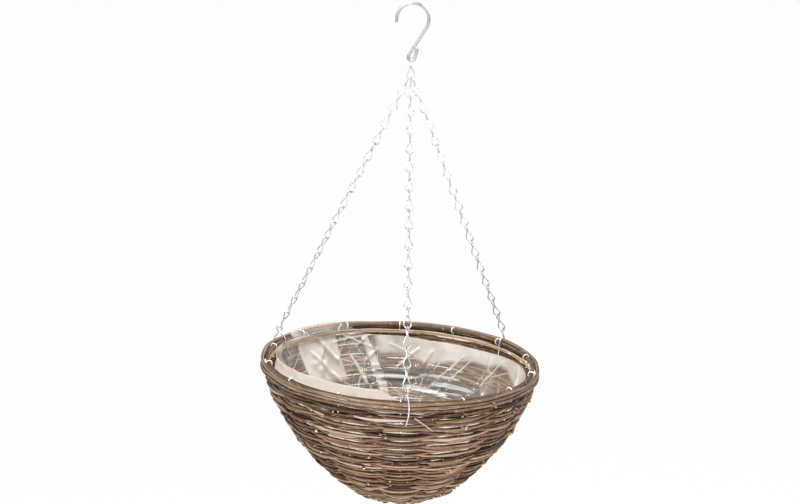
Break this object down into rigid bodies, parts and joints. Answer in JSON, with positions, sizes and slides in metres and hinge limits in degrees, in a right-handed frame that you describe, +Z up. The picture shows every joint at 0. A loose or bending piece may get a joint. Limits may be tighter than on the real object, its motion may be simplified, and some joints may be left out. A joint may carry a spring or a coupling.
{
  "type": "hanging willow basket",
  "caption": "Bowl-shaped basket woven from willow rods on a wire frame, with a film liner, hanging by three double-loop wire chains from a top link and a crook hook.",
  "frame": {"origin": "seat of the hook: the inside top of its crook, in the middle plane of the wire", "axes": "+Z up along the hang, X across in the plane of the hook with the crook's tip on the -X side, the front chain on the -Y side"},
  "size_m": [0.355, 0.3568, 0.6323],
  "materials": {
    "hook_wire": "bright galvanised wire",
    "chain_wire": "bright galvanised wire",
    "frame_wire": "bright galvanised wire",
    "willow_rods": "dry willow rods with the bark on",
    "rim_rods": "dry willow rods with the bark on, darker",
    "peeled_rods": "peeled willow",
    "film": "clear crumpled film"
  },
  "bodies": {
    "hook": {"hook": "hook_wire"},
    "top_link": {"top_link": "chain_wire"},
    "basket": {"chain_left": "chain_wire", "chain_right": "chain_wire", "chain_front": "chain_wire", "end_hook_left": "chain_wire", "end_hook_right": "chain_wire", "end_hook_front": "chain_wire", "hoop": "rim_rods", "inner_rim_rod": "peeled_rods", "rim_rod_1": "rim_rods", "rim_rod_2": "rim_rods", "rim_rod_3": "rim_rods", "course_01": "willow_rods", "course_02": "willow_rods", "course_03": "willow_rods", "course_04": "willow_rods", "course_05": "willow_rods", "course_06": "willow_rods", "course_07": "willow_rods", "course_08": "willow_rods", "course_09": "willow_rods", "course_10": "willow_rods", "course_11": "willow_rods", "course_12": "willow_rods", "course_13": "willow_rods", "course_14": "willow_rods", "course_15": "willow_rods", "course_16": "willow_rods", "course_17": "willow_rods", "inner_courses": "willow_rods", "rib_01": "frame_wire", "rib_02": "frame_wire", "rib_03": "frame_wire", "rib_04": "frame_wire", "rib_05": "frame_wire", "rib_06": "frame_wire", "rib_07": "frame_wire", "rib_08": "frame_wire", "rib_09": "frame_wire", "rib_10": "frame_wire", "rib_11": "frame_wire", "rib_12": "frame_wire", "rib_13": "frame_wire", "rib_14": "frame_wire", "base_ring": "frame_wire", "base_disc": "willow_rods", "liner": "film"}
  },
  "joints": [
    {"name": "top_link_swing", "type": "hinge", "parent": "hook", "child": "top_link", "pos_m": [0, 0, -0.06742], "axis": [1, 0, 0], "range_deg": [-40, 40]},
    {"name": "basket_swing", "type": "hinge", "parent": "top_link", "child": "basket", "pos_m": [0, 0, -0.08553], "axis": [0, 1, 0], "range_deg": [-30, 30]}
  ]
}
